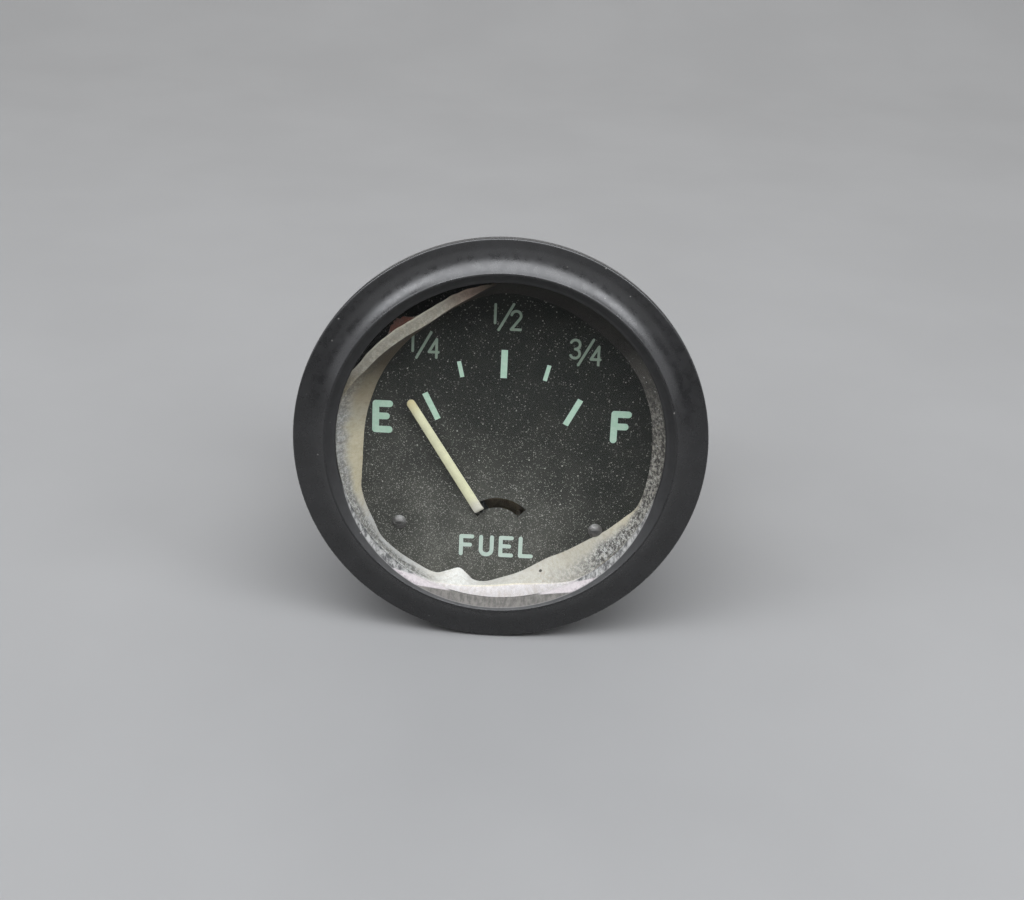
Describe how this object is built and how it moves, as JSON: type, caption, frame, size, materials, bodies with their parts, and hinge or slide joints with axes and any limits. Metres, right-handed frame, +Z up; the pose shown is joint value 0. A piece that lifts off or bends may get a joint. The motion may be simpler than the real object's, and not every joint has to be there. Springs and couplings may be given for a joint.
{
  "type": "aircraft fuel gauge",
  "caption": "Round panel fuel gauge with a flared black bezel, a glazed dial, a swinging pointer on a coil-driven movement, and a rear clamp strap with thumb nuts.",
  "frame": {"origin": "centre of the bezel's rear face, which seats on the front of the panel", "axes": "+Y from the panel seat to the rear, so the dial faces -Y; +Z up on the dial; +X to the right as the dial is read"},
  "size_m": [0.0604, 0.0593, 0.0604],
  "materials": {
    "bezel_enamel": "satin black enamel, worn",
    "lens_glass": "clear, flat",
    "gasket_rubber": "matt",
    "spacer_metal": "dull, stained",
    "lining": "aged cream, shrunken and dusty",
    "dial_paint": "matt black, dusty",
    "marking_paint": "matt mint green",
    "dark_steel": "blackened",
    "movement_brass": "satin",
    "case_enamel": "satin black enamel",
    "plated_steel": "dull plated",
    "core_iron": "dull",
    "phenolic": "brown laminate",
    "winding_copper": "enamelled copper wire",
    "lead_cloth": "varnished cloth sleeve",
    "terminal_brass": "tarnished",
    "pointer_paint": "matt aged cream",
    "clamp_steel": "dull plated, stained"
  },
  "bodies": {
    "instrument": {"bezel": "bezel_enamel", "lens": "lens_glass", "lens_gasket": "gasket_rubber", "spacer_ring": "spacer_metal", "lining_strip": "lining", "dial": "dial_paint", "dial_markings": "marking_paint", "dial_screws": "dark_steel", "dial_pillars": "movement_brass", "case": "case_enamel", "case_screws": "plated_steel", "mounting_posts": "movement_brass", "movement_plate": "movement_brass", "bearing_bridge": "movement_brass", "bridge_pillars": "movement_brass", "bridge_screws": "plated_steel", "front_bearing": "movement_brass", "rear_bearing": "movement_brass", "stop_pins": "plated_steel", "left_core": "core_iron", "right_core": "core_iron", "left_bobbin": "phenolic", "right_bobbin": "phenolic", "left_winding": "winding_copper", "right_winding": "winding_copper", "lead_wires": "lead_cloth", "terminal_studs": "terminal_brass", "terminal_bushes": "phenolic", "terminal_insulators": "phenolic", "terminal_washers": "plated_steel", "terminal_nuts": "terminal_brass", "clamp_studs": "plated_steel"},
    "pointer_set": {"pointer": "pointer_paint", "pointer_hub": "movement_brass", "pointer_staff": "plated_steel", "armature": "core_iron", "counterweight": "movement_brass"},
    "clamp": {"clamp_bracket": "clamp_steel", "clamp_washers": "plated_steel"},
    "left_nut": {"left_thumb_nut": "terminal_brass"},
    "right_nut": {"right_thumb_nut": "terminal_brass"}
  },
  "joints": [
    {"name": "pointer_sweep", "type": "hinge", "parent": "instrument", "child": "pointer_set", "pos_m": [0, 0.0112, -0.0159], "axis": [0, 1, 0], "range_deg": [0, 66.4]},
    {"name": "clamp_slide", "type": "slide", "parent": "instrument", "child": "clamp", "axis": [0, 1, 0], "range_m": [-0.0015, 0.003]},
    {"name": "left_nut_turn", "type": "hinge", "parent": "clamp", "child": "left_nut", "pos_m": [-0.0135, 0.0468, 0], "axis": [0, 1, 0], "range_deg": [-680.3, 1360.6]},
    {"name": "right_nut_turn", "type": "hinge", "parent": "clamp", "child": "right_nut", "pos_m": [0.0135, 0.0468, 0], "axis": [0, 1, 0], "range_deg": [-680.3, 1360.6]}
  ],
  "couplings": [
    {"joint": "left_nut_turn", "follows": "clamp_slide", "rad_per_m": 7915.8},
    {"joint": "right_nut_turn", "follows": "clamp_slide", "rad_per_m": 7915.8}
  ]
}
